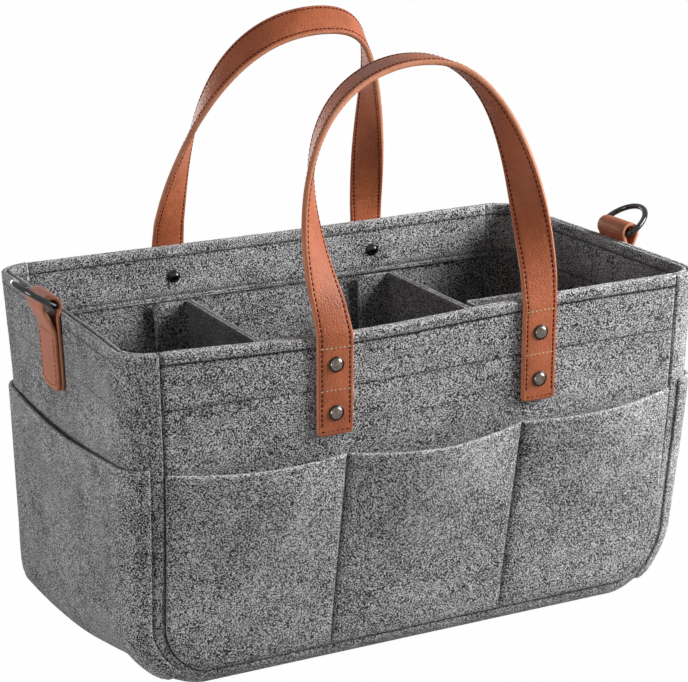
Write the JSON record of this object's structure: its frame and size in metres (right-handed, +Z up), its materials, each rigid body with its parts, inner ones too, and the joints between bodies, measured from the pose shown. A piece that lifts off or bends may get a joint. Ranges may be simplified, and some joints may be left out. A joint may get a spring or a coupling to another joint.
{
  "type": "diaper caddy",
  "caption": "Open felt caddy with outside pockets, movable felt dividers, riveted leather carrying handles and a D-ring at each end.",
  "frame": {"origin": "on the floor under the middle of the caddy's base", "axes": "+X along the length towards the end with the cross divider, +Y from the front to the back, +Z up"},
  "size_m": [0.3712, 0.231, 0.3173],
  "materials": {
    "felt": "pressed heather grey felt",
    "divider_felt": "pressed heather grey felt",
    "hook_tape": "woven hook tape",
    "leather": "smooth tan leather with sewn edges",
    "rivet_nickel": "antique nickel plating",
    "black_metal": "black nickel plating"
  },
  "bodies": {
    "caddy_body": {"gusset": "felt", "front_panel": "felt", "back_panel": "felt", "front_facing": "felt", "back_facing": "felt", "left_facing": "felt", "right_facing": "felt", "front_pocket": "felt", "back_pocket": "felt", "left_end_pocket": "felt", "right_end_pocket": "felt", "front_handle_left_end": "leather", "front_handle_right_end": "leather", "back_handle_left_end": "leather", "back_handle_right_end": "leather", "front_left_upper_rivet_cap": "rivet_nickel", "front_left_upper_rivet_back": "black_metal", "front_left_lower_rivet_cap": "rivet_nickel", "front_left_lower_rivet_back": "black_metal", "front_right_upper_rivet_cap": "rivet_nickel", "front_right_upper_rivet_back": "black_metal", "front_right_lower_rivet_cap": "rivet_nickel", "front_right_lower_rivet_back": "black_metal", "back_left_upper_rivet_cap": "rivet_nickel", "back_left_upper_rivet_back": "black_metal", "back_left_lower_rivet_cap": "rivet_nickel", "back_left_lower_rivet_back": "black_metal", "back_right_upper_rivet_cap": "rivet_nickel", "back_right_upper_rivet_back": "black_metal", "back_right_lower_rivet_cap": "rivet_nickel", "back_right_lower_rivet_back": "black_metal", "left_ring_tab": "leather", "right_ring_tab": "leather"},
    "front_handle": {"front_handle_arch": "leather"},
    "back_handle": {"back_handle_arch": "leather"},
    "left_ring": {"left_d_ring": "black_metal"},
    "right_ring": {"right_d_ring": "black_metal"},
    "left_divider_body": {"left_divider": "divider_felt", "left_divider_backing": "divider_felt", "left_divider_front_hook": "hook_tape", "left_divider_back_hook": "hook_tape"},
    "right_divider_body": {"right_divider": "divider_felt", "right_divider_backing": "divider_felt", "right_divider_front_hook": "hook_tape", "right_divider_back_hook": "hook_tape"},
    "cross_divider_body": {"cross_divider": "divider_felt", "cross_divider_left_hook": "hook_tape", "cross_divider_right_hook": "hook_tape"}
  },
  "joints": [
    {"name": "front_handle_fold", "type": "hinge", "parent": "caddy_body", "child": "front_handle", "pos_m": [0, -0.11109, 0.18426], "axis": [1, 0, 0], "range_deg": [-21, 185]},
    {"name": "back_handle_fold", "type": "hinge", "parent": "caddy_body", "child": "back_handle", "pos_m": [0, 0.11109, 0.18426], "axis": [-1, 0, 0], "range_deg": [-23, 183]},
    {"name": "left_ring_swing", "type": "hinge", "parent": "caddy_body", "child": "left_ring", "pos_m": [-0.1676, -0.001, 0.18744], "axis": [0, -1, 0], "range_deg": [-135, 80]},
    {"name": "right_ring_swing", "type": "hinge", "parent": "caddy_body", "child": "right_ring", "pos_m": [0.1676, -0.013, 0.18744], "axis": [0, 1, 0], "range_deg": [-135, 80]},
    {"name": "left_divider_slide", "type": "slide", "parent": "caddy_body", "child": "left_divider_body", "axis": [1, 0, 0], "range_m": [-0.045, 0.03]},
    {"name": "right_divider_slide", "type": "slide", "parent": "caddy_body", "child": "right_divider_body", "axis": [1, 0, 0], "range_m": [-0.05, 0]},
    {"name": "cross_divider_slide", "type": "slide", "parent": "caddy_body", "child": "cross_divider_body", "axis": [0, 1, 0], "range_m": [-0.035, 0.035]}
  ]
}
